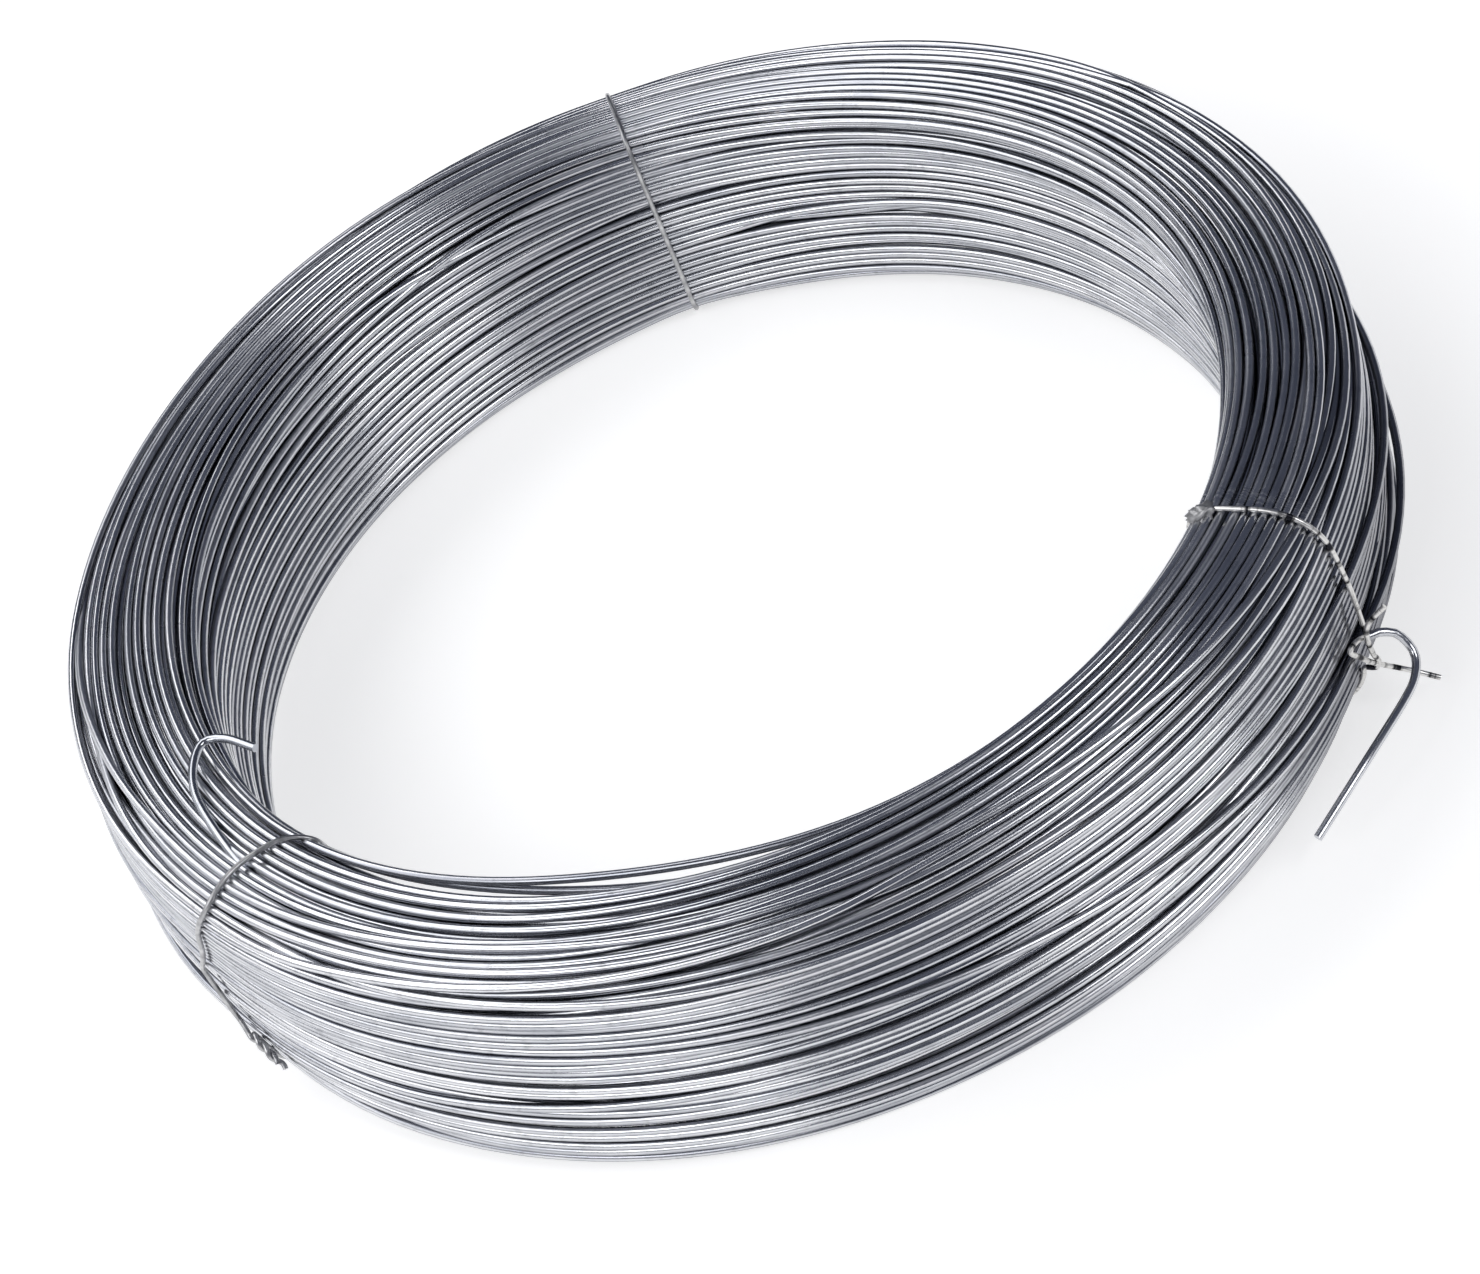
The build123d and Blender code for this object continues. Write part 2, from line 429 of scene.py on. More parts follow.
def held_in(flat, depth, slack):
    """The route brought back inside the rounded section that the ties leave it."""
    spots = flat.reshape(TURNS, SLICES, 2)
    corner = corners(spots)[..., None]
    half = np.array([BUNDLE_WIDTH, COIL_HEIGHT]) / 2 - WIRE_RADIUS
    draw = np.stack([TIE_DRAW * depth, (1 + TIE_DRAW) / 2 * depth], axis=1)
    lift = np.stack([0 * depth, (1 - TIE_DRAW) / 2 * depth], axis=1)
    box = half - draw - corner
    spots = spots - lift
    over = np.maximum(np.abs(spots) - box, 0)
    reach = np.linalg.norm(over, axis=2, keepdims=True)
    scale = np.minimum((corner + slack[..., None]) / np.maximum(reach, LEAST_REACH), 1)
    held = np.sign(spots) * (np.minimum(np.abs(spots), box) + over * scale) + lift
    held[..., 1] = np.maximum(held[..., 1], depth - half[1])
    return held.reshape(-1, 2)


def close_pairs(flat):
    """Index pairs of wire slices that lie near each other at the same bearing."""
    spots = flat.reshape(TURNS, SLICES, 2)
    firsts, seconds = [], []
    upper = np.triu(np.ones((TURNS, TURNS), bool), 1)
    for number in range(SLICES):
        gap = spots[:, None, number] - spots[None, :, number]
        near = (gap * gap).sum(axis=2) < NEAR * NEAR
        first, second = np.nonzero(near & upper)
        firsts.append(first * SLICES + number)
        seconds.append(second * SLICES + number)
    return np.concatenate(firsts), np.concatenate(seconds)


def pushed_apart(flat, pairs, share):
    """Slices of wire that crowd each other moved apart by a share of the room they lack."""
    first, second = pairs
    gap = flat[first] - flat[second]
    space = np.maximum(np.linalg.norm(gap, axis=1), LEAST_SPACE)
    push = share * np.maximum(CLEARANCE - space, 0) / space
    move = gap * push[:, None]
    for axis in (0, 1):
        flat[:, axis] += np.bincount(first, move[:, axis], len(flat))
        flat[:, axis] -= np.bincount(second, move[:, axis], len(flat))


def eased(flat, share, strokes):
    """Each slice of the wire drawn, stroke by stroke, a share of the way to the middle of its neighbours."""
    for _ in range(strokes):
        middle = flat.copy()
        middle[1:-1] = (flat[:-2] + flat[2:]) / 2
        flat = flat + share * (middle - flat)
    return flat


def settled_route():
    """The whole wire's route: turns that keep clear of each other, bend gently and stay in the bundle."""
    wanted, slack = wanted_route(np.random.default_rng(ROUTE_SEED))
    flat = wanted.copy()
    depth = pinch()
    slack -= RECESS * np.abs(wandering(np.random.default_rng(RECESS_SEED), len(flat), RECESS_SPAN))
    slack = slack.reshape(TURNS, SLICES) * (1 - depth / PINCH_DEPTH)
    for number in range(ROUNDS):
        if number % LOOK_EVERY == 0:
            pairs = close_pairs(flat)
        if number < PULL_ROUNDS:
            flat += PULL * (wanted - flat)
        flat = eased(flat, EASE_SHARE, EASE_STROKES)
        for _ in range(PUSH_STROKES):
            pushed_apart(flat, pairs, PUSH_SHARE)
            flat = held_in(flat, depth, slack)
    for _ in range(LAST_STROKES):
        pushed_apart(flat, pairs, LAST_SHARE)
        flat = eased(flat, LAST_SHARE, 1)
        flat = held_in(flat, depth, slack)
    flat = eased(flat, EASE_SHARE, FINAL_EASE_STROKES)
    return sprung(held_in(flat, depth, slack))


def sprung(flat):
    """The route with its loose turns sprung off the bundle, inwards at the bore and outwards elsewhere."""
    turn = np.arange(len(flat)) / SLICES
    for side, height, bearing, span, give in LOOSE_TURNS:
        number = int(round((START_BEARING - bearing) / 360 * SLICES)) % SLICES
        spots = flat.reshape(TURNS, SLICES, 2)[:, number]
        wall = side * (BUNDLE_WIDTH / 2 - WIRE_RADIUS)
        nearest = np.argmin(np.hypot(spots[:, 0] - wall, spots[:, 1] - height + COIL_HEIGHT / 2))
        middle = nearest + number / SLICES
        flat[:, 0] += side * give * np.exp(-((turn - middle) * 360 / span) ** 2)
    return flat


# Wires as meshes

def new_group(name, kind, inputs, outputs):
    """An empty node group with named sockets."""
    group = bpy.data.node_groups.new(name, kind)
    for label, socket in inputs:
        group.interface.new_socket(label, in_out="INPUT", socket_type=socket)
    for label, socket in outputs:
        group.interface.new_socket(label, in_out="OUTPUT", socket_type=socket)
    return group


def swept_wire_group():
    """Geometry nodes that sweep a round section along every line of a mesh."""
    inputs = [("Line", "NodeSocketGeometry"), ("Radius", "NodeSocketFloat"),
              ("Sides", "NodeSocketInt"), ("Material", "NodeSocketMaterial")]
    group = new_group("swept wire", "GeometryNodeTree", inputs, [("Wire", "NodeSocketGeometry")])
    nodes, links = group.nodes, group.links
    start = nodes.new("NodeGroupInput")
    line = nodes.new("GeometryNodeMeshToCurve")
    ring = nodes.new("GeometryNodeCurvePrimitiveCircle")
    sweep = nodes.new("GeometryNodeCurveToMesh")
    smooth = nodes.new("GeometryNodeSetShadeSmooth")
    real = nodes.new("GeometryNodeRealizeInstances")
    finish = nodes.new("GeometryNodeSetMaterial")
    end = nodes.new("NodeGroupOutput")
    sweep.inputs["Fill Caps"].default_value = True
    links.new(start.outputs["Line"], line.inputs["Mesh"])
    links.new(start.outputs["Radius"], ring.inputs["Radius"])
    links.new(start.outputs["Sides"], ring.inputs["Resolution"])
    links.new(line.outputs["Curve"], sweep.inputs["Curve"])
    links.new(ring.outputs["Curve"], sweep.inputs["Profile Curve"])
    links.new(sweep.outputs["Mesh"], smooth.inputs["Geometry"])
    links.new(smooth.outputs["Geometry"], real.inputs["Geometry"])
    links.new(real.outputs["Geometry"], finish.inputs["Geometry"])
    links.new(start.outputs["Material"], finish.inputs["Material"])
    links.new(finish.outputs["Geometry"], end.inputs["Wire"])
    return group


def line_mesh(name, line, numbers, outwards):
    """A mesh of one line of points that carries named numbers and the way out of the bundle."""
    mesh = bpy.data.meshes.new(name)
    mesh.from_pydata(line.tolist(), [(k, k + 1) for k in range(len(line) - 1)], [])
    for label, values in numbers.items():
        mesh.attributes.new(label, "FLOAT", "POINT").data.foreach_set("value", values.astype(np.float32))
    way_out = mesh.attributes.new("outwards", "FLOAT_VECTOR", "POINT")
    way_out.data.foreach_set("vector", outwards.astype(np.float32).ravel())
    return mesh


def wire_piece(name, line, radius, sides, material, tint, buried_shade=None, outwards=None, grain=1.0):
    """One piece of round wire along a line of points."""
    if buried_shade is None:
        buried_shade, outwards = np.zeros(len(line)), np.zeros_like(line)
    travel = np.concatenate([[0], np.cumsum(np.linalg.norm(np.diff(line, axis=0), axis=1))])
    mesh = line_mesh(name, line, {"along": grain * travel, "tint": tint, "buried_shade": buried_shade}, outwards)
    piece = bpy.data.objects.new(name, mesh)
    bpy.context.scene.collection.objects.link(piece)
    modifier = piece.modifiers.new("sweep", "NODES")
    modifier.node_group = SWEPT_WIRE
    items = SWEPT_WIRE.interface.items_tree
    sockets = {item.name: item.identifier for item in items if item.in_out == "INPUT"}
    modifier[sockets["Radius"]] = radius
    modifier[sockets["Sides"]] = sides
    modifier[sockets["Material"]] = material
    graph = bpy.context.evaluated_depsgraph_get()
    swept = bpy.data.meshes.new_from_object(piece.evaluated_get(graph))
    piece.modifiers.remove(modifier)
    piece.data = swept
    bpy.data.meshes.remove(mesh)
    swept.name = name
    return piece


def smooth_line(points, spacing):
    """A smooth line through a few points, as evenly spaced points."""
    points = np.asarray(points, float)
    ends = np.vstack([2 * points[0] - points[1], points, 2 * points[-1] - points[-2]])
    line = []
    for a, b, c, d in zip(ends[:-3], ends[1:-2], ends[2:-1], ends[3:]):
        steps = max(int(np.linalg.norm(c - b) / spacing), 1)
        share = np.arange(steps)[:, None] / steps
        line.append(0.5 * (2 * b + (c - a) * share + (2 * a - 5 * b + 4 * c - d) * share ** 2
                           + (3 * b - a - 3 * c + d) * share ** 3))
    return np.vstack([*line, points[-1:]])


# Finishes

def shared_group(name, inputs, outputs):
    """A shader node group of plain numbers, with its input and output nodes."""
    kind = "NodeSocketFloat"
    group = new_group(name, "ShaderNodeTree", [(label, kind) for label in inputs],
                      [(label, kind) for label in outputs])
    return group, group.nodes.new("NodeGroupInput"), group.nodes.new("NodeGroupOutput")


def fed(links, node, values):
    """A node whose inputs are linked to sockets or set to plain values, in order."""
    for socket, value in zip(node.inputs, values):
        if isinstance(value, bpy.types.NodeSocket):
            links.new(value, socket)
        else:
            socket.default_value = value
    return node


def number_from(nodes, links, operation, *values):
    """The result of a math node."""
    node = nodes.new("ShaderNodeMath")
    node.operation = operation
    return fed(links, node, values).outputs[0]


def number_from_vectors(nodes, links, operation, *values):
    """The number that a vector math node gives."""
    node = nodes.new("ShaderNodeVectorMath")
    node.operation = operation
    return fed(links, node, values).outputs["Value"]


def attribute_node(nodes, name):
    """A node that reads one of a piece's own attributes."""
    node = nodes.new("ShaderNodeAttribute")
    node.attribute_name = name
    return node


def faded(nodes, links, value, first, last, most=1.0):
    """A smooth fade from nothing where a value is `first` to `most` where it is `last`."""
    fade = nodes.new("ShaderNodeMapRange")
    fade.interpolation_type = "SMOOTHSTEP"
    fade.inputs["From Min"].default_value = first
    fade.inputs["From Max"].default_value = last
    fade.inputs["To Max"].default_value = most
    links.new(value, fade.inputs["Value"])
    return fade.outputs["Result"]


def drawn_marks_group():
    """Streaks that a drawn wire carries along its length, and coarser cloudy patches of dull zinc."""
    group, start, end = shared_group("drawn marks", ("Along", "Tint"), ("Streak", "Patch"))
    nodes, links = group.nodes, group.links
    for label, (along_scale, tint_scale, detail) in (("Streak", STREAK), ("Patch", PATCH)):
        far = number_from(nodes, links, "MULTIPLY", start.outputs["Along"], along_scale)
        wide = number_from(nodes, links, "MULTIPLY", start.outputs["Tint"], tint_scale)
        stretch = fed(links, nodes.new("ShaderNodeCombineXYZ"), (far, wide))
        noise = nodes.new("ShaderNodeTexNoise")
        noise.inputs["Scale"].default_value = 1.0
        noise.inputs["Detail"].default_value = detail
        links.new(stretch.outputs[0], noise.inputs["Vector"])
        links.new(noise.outputs["Fac"], end.inputs[label])
    return group


def grime_group():
    """Where grime has gathered: fine dark specks in the object's own space."""
    group, start, end = shared_group("grime", ("Amount",), ("Mask",))
    nodes, links = group.nodes, group.links
    place = nodes.new("ShaderNodeTexCoord")
    noise = nodes.new("ShaderNodeTexNoise")
    noise.inputs["Scale"].default_value = SPECK_SCALE
    noise.inputs["Detail"].default_value = SPECK_DETAIL
    noise.inputs["Roughness"].default_value = SPECK_ROUGHNESS
    edge = nodes.new("ShaderNodeMapRange")
    edge.inputs["From Min"].default_value = SPECK_RANGE[0]
    edge.inputs["From Max"].default_value = SPECK_RANGE[1]
    links.new(place.outputs["Object"], noise.inputs["Vector"])
    links.new(noise.outputs["Fac"], edge.inputs["Value"])
    mask = number_from(nodes, links, "MULTIPLY", edge.outputs["Result"], start.outputs["Amount"])
    links.new(mask, end.inputs["Mask"])
    return group


def right_wall_shade_group():
    """Painted shade on the bundle's zinc round the right tie, where little light falls, fading out along the
    turns.
    """
    group, start, end = shared_group("right_wall_shade", ("Amount",), ("Mask",))
    nodes, links = group.nodes, group.links
    place = nodes.new("ShaderNodeTexCoord")
    middle = polar(OUTER_RADIUS + RIGHT_WALL_SHADE_OUT, RIGHT_WALL_SHADE_BEARING, RIGHT_WALL_SHADE_HEIGHT)
    away = number_from_vectors(nodes, links, "DISTANCE", place.outputs["Object"], middle)
    fade = faded(nodes, links, away, RIGHT_WALL_SHADE_REACH, RIGHT_WALL_SHADE_CORE)
    way_out = attribute_node(nodes, "outwards")
    bundled = number_from_vectors(nodes, links, "LENGTH", way_out.outputs["Vector"])
    held = number_from(nodes, links, "MULTIPLY", fade, bundled)
    mask = number_from(nodes, links, "MULTIPLY", held, start.outputs["Amount"])
    links.new(mask, end.inputs["Mask"])
    return group


def crevice_shade_group():
    """Painted shade in the crevices between turns: each wire's flanks, away from the way out, and its
    underside are darkened.
    """
    group, start, end = shared_group("crevice_shade", ("Amount",), ("Mask",))
    nodes, links = group.nodes, group.links
    way_out = attribute_node(nodes, "outwards")
    surface = nodes.new("ShaderNodeNewGeometry")
    normal = fed(links, nodes.new("ShaderNodeSeparateXYZ"), (surface.outputs["Normal"],))
    facing = number_from_vectors(nodes, links, "DOT_PRODUCT", way_out.outputs["Vector"],
                                 surface.outputs["Normal"])
    flank_shade = faded(nodes, links, facing, *FLANK_SHADE_FADE)
    under = faded(nodes, links, normal.outputs["Z"], *UNDERSIDE_SHADE_FADE, UNDERSIDE_SHADE_SHARE)
    stronger_shade = number_from(nodes, links, "MAXIMUM", flank_shade, under)
    bundled = number_from_vectors(nodes, links, "LENGTH", way_out.outputs["Vector"])
    held = number_from(nodes, links, "MULTIPLY", stronger_shade, bundled)
    mask = number_from(nodes, links, "MULTIPLY", held, start.outputs["Amount"])
    links.new(mask, end.inputs["Mask"])
    return group


def ramp_node(nodes, dull, bright):
    """A colour ramp between two stops, each a tone and the colour it has there."""
    ramp = nodes.new("ShaderNodeValToRGB")
    for element, (tone, colour) in zip(ramp.color_ramp.elements, (dull, bright)):
        element.position = tone
        element.color = (*colour, 1)
    return ramp


def group_node(nodes, group):
    """A node that uses a shared group."""
    node = nodes.new("ShaderNodeGroup")
    node.node_tree = group
    return node


def blended(nodes, links, factor, under, over):
    """A colour socket covered with a plain colour by a factor socket."""
    mix = nodes.new("ShaderNodeMix")
    mix.data_type = "RGBA"
    links.new(factor, mix.inputs["Factor"])
    links.new(under, mix.inputs["A"])
    mix.inputs["B"].default_value = (*over, 1)
    return mix.outputs["Result"]


def dirtied_and_shaded(nodes, links, colour, grime):
    """A zinc colour with its specks of grime, and painted shade by the right tie, in its crevices and deep
    inside.
    """
    for group, amount, covering in ((GRIME, grime, SPECK_COLOUR), (RIGHT_WALL_SHADE, RIGHT_WALL_SHADE_AMOUNT, RIGHT_WALL_SHADE_COLOUR),
                                (CREVICE_SHADE, CREVICE_SHADE_AMOUNT, CREVICE_SHADE_COLOUR)):
        where = group_node(nodes, group)
        where.inputs["Amount"].default_value = amount
        colour = blended(nodes, links, where.outputs["Mask"], colour, covering)
    buried_shade = attribute_node(nodes, "buried_shade")
    return blended(nodes, links, buried_shade.outputs["Fac"], colour, BURIED_SHADE_COLOUR)


def zinc_material(name, dull, bright, grime, roughness):
    """Zinc on drawn wire: a tone of its own for each turn, streaks along it, dull patches and grime, and
    painted shade in the bundle.
    """
    material = bpy.data.materials.new(name)
    material.use_nodes = True
    nodes, links = material.node_tree.nodes, material.node_tree.links
    surface = nodes["Principled BSDF"]
    surface.inputs["Metallic"].default_value = 1.0
    tint = attribute_node(nodes, "tint")
    along = attribute_node(nodes, "along")
    marks = group_node(nodes, DRAWN_MARKS)
    links.new(along.outputs["Fac"], marks.inputs["Along"])
    links.new(tint.outputs["Fac"], marks.inputs["Tint"])
    streak = marks.outputs["Streak"]
    tone = number_from(nodes, links, "MULTIPLY_ADD", tint.outputs["Fac"], TINT_SHARE, streak)
    ramp = ramp_node(nodes, dull, bright)
    links.new(tone, ramp.inputs["Fac"])
    links.new(dirtied_and_shaded(nodes, links, ramp.outputs["Color"], grime), surface.inputs["Base Color"])
    gloss = nodes.new("ShaderNodeMapRange")
    gloss.inputs["From Min"].default_value = PATCH_RANGE[0]
    gloss.inputs["From Max"].default_value = PATCH_RANGE[1]
    gloss.inputs["To Min"].default_value = roughness - PATCH_SMOOTHER
    gloss.inputs["To Max"].default_value = roughness + PATCH_ROUGHER
    links.new(marks.outputs["Patch"], gloss.inputs["Value"])
    links.new(gloss.outputs["Result"], surface.inputs["Roughness"])
    return material


def galvanised_finish():
    """Bright zinc on the coil's own wire."""
    dull = (0.3, (0.46, 0.475, 0.51))
    bright = (0.95, (0.79, 0.795, 0.815))
    return zinc_material("galvanised wire", dull, bright, grime=0.2, roughness=0.23)


def tie_finish():
    """Greyer zinc on the left and back ties."""
    dull = (0.35, (0.3, 0.3, 0.31))
    bright = (0.65, (0.6, 0.6, 0.6))
    return zinc_material("tie wire", dull, bright, grime=0.4, roughness=0.34)


def sooty_finish():
    """The right tie: blackened, and worn bright in patches."""
    dull = (0.43, (0.02, 0.02, 0.025))
    bright = (0.49, (0.74, 0.73, 0.71))
    return zinc_material("sooty tie wire", dull, bright, grime=0.5, roughness=0.34)


def lump_finish():
    """Rough grey zinc of the lump on the right tie."""
    dull = (0.3, (0.36, 0.36, 0.365))
    bright = (0.95, (0.6, 0.6, 0.605))
    return zinc_material("zinc run", dull, bright, grime=0.9, roughness=0.5)


# The turns and the wire's ends

def spatial(flat, turns):
    """Points in space of a run of turns, how much painted shade they take for lying deep, and which way is
    out of the bundle.
    """
    first, last = turns[0] * SLICES, min(turns[1] * SLICES + 1, TURNS * SLICES)
    bearing = START_BEARING - 360 * np.arange(first, last) / SLICES
    spots = flat[first:last]
    half = np.array([BUNDLE_WIDTH, COIL_HEIGHT]) / 2
    cover = (half - np.abs(spots)).min(axis=1)
    # painted shade that grows with depth under the skin
    buried_shade = np.clip((cover - BURIED_SHADE_FROM) / BURIED_SHADE_OVER, 0, 1)
    rim = np.sign(spots) * np.maximum(np.abs(spots) - half + SECTION_CORNER, 0) + RIM_LEAN * spots
    rim /= np.linalg.norm(rim, axis=1, keepdims=True)
    outwards = polar(rim[:, 0], bearing, rim[:, 1])
    points = polar(MIDDLE_RADIUS + spots[:, 0], bearing, COIL_HEIGHT / 2 + spots[:, 1])
    return points, buried_shade, outwards


def points_by_hand(spots, base=0):
    """Points from (radius, bearing, height above a base) in millimetres and degrees."""
    return np.array([polar(radius / MILLIMETRES, bearing, (base + height) / MILLIMETRES)
                     for radius, bearing, height in spots])


def outer_end():
    """The wire's outer end from its cut tip: a straight leg, a fold by the right tie, then under the tie."""
    return smooth_line(points_by_hand(OUTER_END), END_SPACING)


def inner_end():
    """The wire's inner end: it comes up through the top turns, doubles back and points over the eye."""
    return smooth_line(points_by_hand(INNER_END, COIL_HEIGHT * MILLIMETRES), END_SPACING)


def with_outer_end(line, tint, buried_shade, outwards):
    """The first run of turns with the wire's free outer end put before it."""
    end = outer_end()
    tint = np.concatenate([np.full(len(end), tint[0]), tint])
    buried_shade = np.concatenate([np.zeros(len(end)), buried_shade])
    outwards = np.vstack([np.zeros_like(end), outwards])
    return np.vstack([end, line]), tint, buried_shade, outwards


def build_turns(flat):
    """The turns in pieces of a few dozen, with fewer sides where they are deep in the bundle."""
    rng = np.random.default_rng(TINT_SEED)
    pieces = []
    for layer, (first, turns, _) in enumerate(layer_plan()):
        sides = LAYER_SIDES[min(layer, len(LAYER_SIDES) - 1)]
        parts = max(math.ceil(turns * SLICES * sides * 2 / PIECE_TRIANGLES), 1)
        cuts = np.linspace(first, first + turns, parts + 1).round().astype(int)
        for part, run in enumerate(zip(cuts[:-1], cuts[1:])):
            line, buried_shade, outwards = spatial(flat, run)
            tint = np.repeat(rng.uniform(0, 1, run[1] - run[0] + 1), SLICES)[:len(line)]
            if run[0] == 0:
                line, tint, buried_shade, outwards = with_outer_end(line, tint, buried_shade, outwards)
            name = f"turns_layer_{layer + 1}_part_{part + 1}"
            pieces.append(wire_piece(name, line, WIRE_RADIUS, sides, ZINC, tint, buried_shade, outwards))
    end = inner_end()
    tint = np.full(len(end), INNER_END_TINT)
    pieces.append(wire_piece("inner_wire_end", end, WIRE_RADIUS, END_SIDES, ZINC, tint))
    return pieces


# The ties

def turning(a, b, c):
    """How sharply three points in a plane turn to the left (right if it is negative)."""
    return (b[0] - a[0]) * (c[1] - a[1]) - (b[1] - a[1]) * (c[0] - a[0])


def hull_side(run):
    """One side of the convex outline of points that come in order, without its last point."""
    line = []
    for spot in run:
        while len(line) > 1 and turning(line[-2], line[-1], spot) <= 0:
            line.pop()
        line.append(spot)
    return line[:-1]


def hull(points):
    """The convex outline of points in a plane, anticlockwise."""
    ordered = sorted(map(tuple, points))
    return np.array(hull_side(ordered) + hull_side(ordered[::-1]))


def tie_reach(flat, bearing, angle):
    """How far from the bundle's middle a tie lies at an angle, drawn tight over the turns it goes round."""
    number = (START_BEARING - bearing) / 360 * SLICES % SLICES
    first, share = int(number), number % 1
    turns = flat.reshape(TURNS, SLICES, 2)
    spots = turns[:, first] * (1 - share) + turns[:, (first + 1) % SLICES] * share
    rim = np.radians(np.arange(0, 360, RIM_STEP))
    circle = (WIRE_RADIUS + TIE_RADIUS) * np.stack([np.cos(rim), np.sin(rim)], axis=1)
    tight = hull((spots[:, None] + circle[None]).reshape(-1, 2))
    closed = np.vstack([tight, tight[:1]])
    shares = np.linspace(0, 1, HULL_POINTS)[:-1, None]
    dense = np.concatenate([a + (b - a) * shares for a, b in zip(closed[:-1], closed[1:])])
    around = np.degrees(np.arctan2(dense[:, 1], dense[:, 0])) % 360
    order = np.argsort(around)
    return np.interp(angle % 360, around[order], np.linalg.norm(dense, axis=1)[order], period=360)


def tie_loop(flat, bearing, lean, first, last):
    """Points of a tie round the bundle between two angles of its section, with its lean from its bearing."""
    angles = np.arange(first, last, TIE_STEP)
    offsets = np.interp(angles, [angle for angle, _ in lean], [shift for _, shift in lean])
    points = []
    for angle, offset in zip(angles, offsets):
        reach = tie_reach(flat, bearing + offset, angle)
        level = math.radians(angle)
        points.append(polar(MIDDLE_RADIUS + reach * math.cos(level), bearing + offset,
                            COIL_HEIGHT / 2 + reach * math.sin(level)))
    points = np.array(points)
    for _ in range(TIE_EASINGS):
        points[1:-1] = (points[:-2] + 2 * points[1:-1] + points[2:]) / 4
    return points


def twisted_strand(start, finish, turns, spread, strand):
    """One strand (0 or 1) of two wires twisted round the line between two points."""
    axis = (finish - start) / np.linalg.norm(finish - start)
    side = np.cross(axis, (0, 0, 1))
    side /= np.linalg.norm(side)
    other = np.cross(axis, side)
    share = np.linspace(0, 1, int(STRAND_POINTS * turns))[:, None]
    angle = 2 * math.pi * turns * share + math.pi * strand
    return start + (finish - start) * share + spread * (np.cos(angle) * side + np.sin(angle) * other)


def off_wall(out, bearing, height):
    """A point by its distance out from the outer wall, its bearing and its height."""
    return polar(OUTER_RADIUS + out, bearing, height)


def right_tie(flat):
    """The right tie: one end loops round the wire's outer end and stands out, the other turns up."""
    loop = tie_loop(flat, TIE_BEARINGS["right"], RIGHT_LEAN, *RIGHT_SPAN)
    straight = points_by_hand(STRAIGHT_TIE_END)
    short = points_by_hand(SHORT_TIE_END)
    return smooth_line(np.vstack([straight, loop, short]), TIE_SPACING)


def left_tie(flat):
    """The left tie: its ends are twisted together and lie down along the wall."""
    loop = tie_loop(flat, TIE_BEARINGS["left"], LEFT_LEAN, *LEFT_SPAN)
    start, finish = [off_wall(*spot) for spot in LEFT_TWIST]
    nearer = start + LEFT_SECOND_SHARE * (finish - start)
    first = twisted_strand(start, finish, LEFT_STRAND_TURNS[0], LEFT_SPREAD, 0)[::-1]
    second = twisted_strand(start, nearer, LEFT_STRAND_TURNS[1], LEFT_SPREAD, 1)
    return smooth_line(np.vstack([first, loop, second]), TIE_SPACING)


def back_tie(flat):
    """The back tie: a plain loop, its ends twisted together and standing out from the outer wall."""
    loop = tie_loop(flat, TIE_BEARINGS["back"], BACK_LEAN, *BACK_SPAN)
    start, finish = [off_wall(*spot) for spot in BACK_TWIST]
    first = twisted_strand(start, finish, BACK_STRAND_TURNS[0], TIE_RADIUS, 0)[::-1]
    second = twisted_strand(start, finish, BACK_STRAND_TURNS[1], TIE_RADIUS, 1)
    return smooth_line(np.vstack([first, loop, second]), TIE_SPACING)


def lump_points():
    """Points of a lumpy ball about one unit in radius: rows round its axis, then its two poles."""
    rng = np.random.default_rng(LUMP_SEED)
    waves = [(rng.normal(size=3), rng.uniform(0, 2 * math.pi)) for _ in range(LUMP_WAVES)]
    points = []
    for row in range(1, LUMP_ROWS):
        for column in range(LUMP_COLUMNS):
            down, around = math.pi * row / LUMP_ROWS, 2 * math.pi * column / LUMP_COLUMNS
            ray = np.array([math.sin(down) * math.cos(around), math.sin(down) * math.sin(around),
                            math.cos(down)])
            swell = 1 + sum(LUMP_WAVE_HEIGHT * math.sin(LUMP_WAVE_PITCH * wave.dot(ray) + phase)
                            for wave, phase in waves)
            points.append(ray * swell)
    return points + [np.array([0, 0, 1.0]), np.array([0, 0, -1.0])]


def lump_faces():
    """Faces of the lumpy ball: squares between its rows, and triangles to its poles."""
    faces = []
    last = (LUMP_ROWS - 2) * LUMP_COLUMNS
    upper_pole = last + LUMP_COLUMNS
    for row in range(0, last, LUMP_COLUMNS):
        for column in range(LUMP_COLUMNS):
            after = (column + 1) % LUMP_COLUMNS
            below = row + LUMP_COLUMNS
            faces.append((row + column, below + column, below + after, row + after))
    for column in range(LUMP_COLUMNS):
        after = (column + 1) % LUMP_COLUMNS
        faces.append((upper_pole, column, after))
        faces.append((upper_pole + 1, last + after, last + column))
    return faces


def zinc_run():
    """A lump of zinc that has run over the right tie where it goes round the bore's edge."""
    bearing = math.radians(LUMP_BEARING)
    outwards = np.array([math.sin(bearing), -math.cos(bearing), 0])
    along = np.array([math.cos(bearing), math.sin(bearing), 0])
    tilt = outwards * LUMP_TILT[0] + np.array([0, 0, LUMP_TILT[1]])
    across = np.cross(tilt, along)
    middle = polar(BORE_RADIUS + LUMP_FROM_BORE, LUMP_BEARING, COIL_HEIGHT - LUMP_BELOW_TOP)
    length, width, depth = LUMP_SIZES
    places = [middle + length * p[0] * tilt + width * p[1] * along + depth * p[2] * across
              for p in lump_points()]
    mesh = bpy.data.meshes.new("zinc_run")
    mesh.from_pydata([tuple(place) for place in places], [], lump_faces())
    mesh.shade_smooth()
    mesh.materials.append(lump_finish())
    lump = bpy.data.objects.new("zinc_run", mesh)
    bpy.context.scene.collection.objects.link(lump)
    return lump


# Floor, light and camera

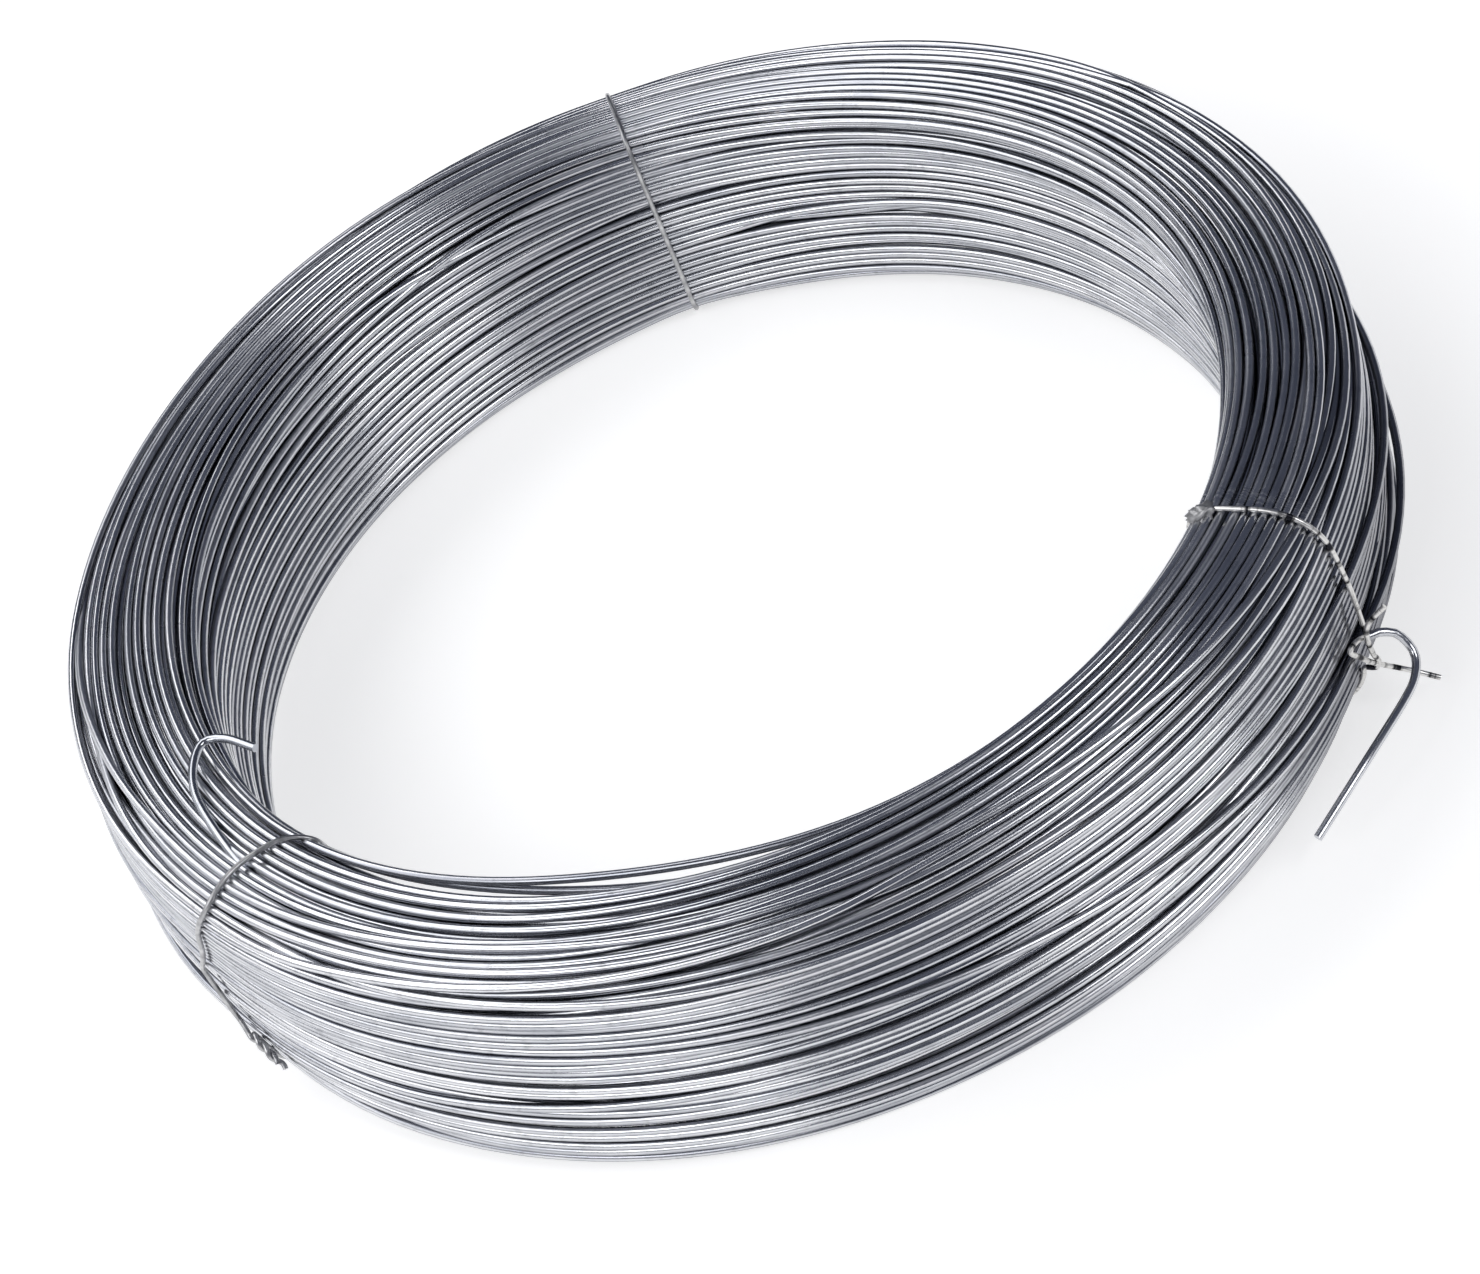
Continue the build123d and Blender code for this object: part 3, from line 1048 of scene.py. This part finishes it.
def build_floor():
    """A pale floor that takes the coil's shadow, and shows as white to the camera and in the metal."""
    mesh = bpy.data.meshes.new("floor")
    corners_of_floor = [(across * FLOOR_REACH, deep * FLOOR_REACH, 0)
                        for across, deep in ((-1, -1), (1, -1), (1, 1), (-1, 1))]
    mesh.from_pydata(corners_of_floor, [], [(0, 1, 2, 3)])
    floor = bpy.data.objects.new("floor", mesh)
    bpy.context.scene.collection.objects.link(floor)
    material = bpy.data.materials.new("floor")
    material.use_nodes = True
    nodes, links = material.node_tree.nodes, material.node_tree.links
    surface = nodes["Principled BSDF"]
    surface.inputs["Roughness"].default_value = 1.0
    surface.inputs["Specular IOR Level"].default_value = 0.0
    surface.inputs["Base Color"].default_value = (FLOOR_TONE, FLOOR_TONE, FLOOR_TONE, 1)
    surface.inputs["Emission Color"].default_value = (1, 1, 1, 1)
    path = nodes.new("ShaderNodeLightPath")
    seen = path.outputs["Is Camera Ray"]
    for ray in ("Is Glossy Ray", "Is Transmission Ray"):
        seen = number_from(nodes, links, "MAXIMUM", seen, path.outputs[ray])
    glow = number_from(nodes, links, "MULTIPLY", seen, FLOOR_GLOW)
    links.new(glow, surface.inputs["Emission Strength"])
    mesh.materials.append(material)


def build_world():
    """A dim studio round the soft boxes."""
    world = bpy.data.worlds.new("studio")
    bpy.context.scene.world = world
    world.use_nodes = True
    shade = world.node_tree.nodes["Background"]
    shade.inputs["Color"].default_value = (*STUDIO_COLOUR, 1)


def soft_box(name, bearing, elevation, width, height, power):
    """A soft box aimed at the coil."""
    light = bpy.data.lights.new(name, "AREA")
    light.shape = "RECTANGLE"
    light.size = width
    light.size_y = height
    light.energy = power
    lamp = bpy.data.objects.new(name, light)
    bpy.context.scene.collection.objects.link(lamp)
    level = math.radians(elevation)
    place = Vector(polar(BOX_DISTANCE * math.cos(level), bearing, BOX_DISTANCE * math.sin(level)))
    lamp.location = place
    aim = Vector((0, 0, COIL_HEIGHT / 2)) - place
    lamp.rotation_euler = aim.to_track_quat("-Z", "Y").to_euler()


def build_lights():
    """Large soft boxes behind, to the left and to the right, and weak low ones for the walls' undersides."""
    soft_box("back left box", bearing=-138, elevation=54, width=2.6, height=1.9, power=34)
    soft_box("left box", bearing=-78, elevation=40, width=2.5, height=1.5, power=22)
    soft_box("front left box", bearing=-40, elevation=42, width=1.4, height=1.5, power=17)
    soft_box("right box", bearing=46, elevation=40, width=1.5, height=1.5, power=27)
    soft_box("low back left box", bearing=-122, elevation=18, width=1.5, height=1.3, power=6)
    soft_box("low left box", bearing=-78, elevation=11, width=2.5, height=1.1, power=4)
    soft_box("low front left box", bearing=-34, elevation=11, width=1.7, height=1.1, power=3)


def build_camera():
    """The photo's view: its distance, height, roll and lens."""
    elevation = math.radians(VIEW_ELEVATION)
    back = Vector((0, -math.cos(elevation), math.sin(elevation)))
    right = Vector((1, 0, 0))
    up = back.cross(right)
    tilted_right = right * math.cos(VIEW_ROLL) - up * math.sin(VIEW_ROLL)
    tilted_up = right * math.sin(VIEW_ROLL) + up * math.cos(VIEW_ROLL)
    place = back * VIEW_DISTANCE + Vector((0, 0, COIL_HEIGHT / 2))
    data = bpy.data.cameras.new("camera")
    camera = bpy.data.objects.new("camera", data)
    bpy.context.scene.collection.objects.link(camera)
    turned = Matrix((tilted_right, tilted_up, back)).transposed().to_4x4()
    camera.matrix_world = Matrix.Translation(place) @ turned
    width, height = VIEW_SIZE
    data.sensor_width = SENSOR_WIDTH
    data.lens = SENSOR_WIDTH * VIEW_FOCAL / width
    data.shift_x = (width / 2 - VIEW_CENTRE[0]) / width
    data.shift_y = (VIEW_CENTRE[1] - height / 2) / width
    bpy.context.scene.camera = camera


# Building

SWEPT_WIRE = swept_wire_group()
DRAWN_MARKS = drawn_marks_group()
GRIME = grime_group()
RIGHT_WALL_SHADE = right_wall_shade_group()
CREVICE_SHADE = crevice_shade_group()
ZINC = galvanised_finish()
TIE_ZINC = tie_finish()
SOOTY = sooty_finish()
TIES = (("left", left_tie, TIE_ZINC), ("right", right_tie, SOOTY), ("back", back_tie, TIE_ZINC))

ROUTE = settled_route()
for piece in build_turns(ROUTE):
    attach(piece, "root")
    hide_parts("wire_coil")
for side, make, finish in TIES:
    line = make(ROUTE)
    tint = np.zeros(len(line))
    tie = wire_piece(f"tie_{side}", line, TIE_RADIUS, TIE_SIDES, finish, tint, grain=TIE_GRAIN)
    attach(tie, "root")
    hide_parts(f"tie_wire_{side}")
lump = zinc_run()
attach(lump, "root")
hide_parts("tie_wire_right")

build_floor()
build_world()
build_lights()
build_camera()
bpy.context.scene.view_settings.view_transform = "Standard"
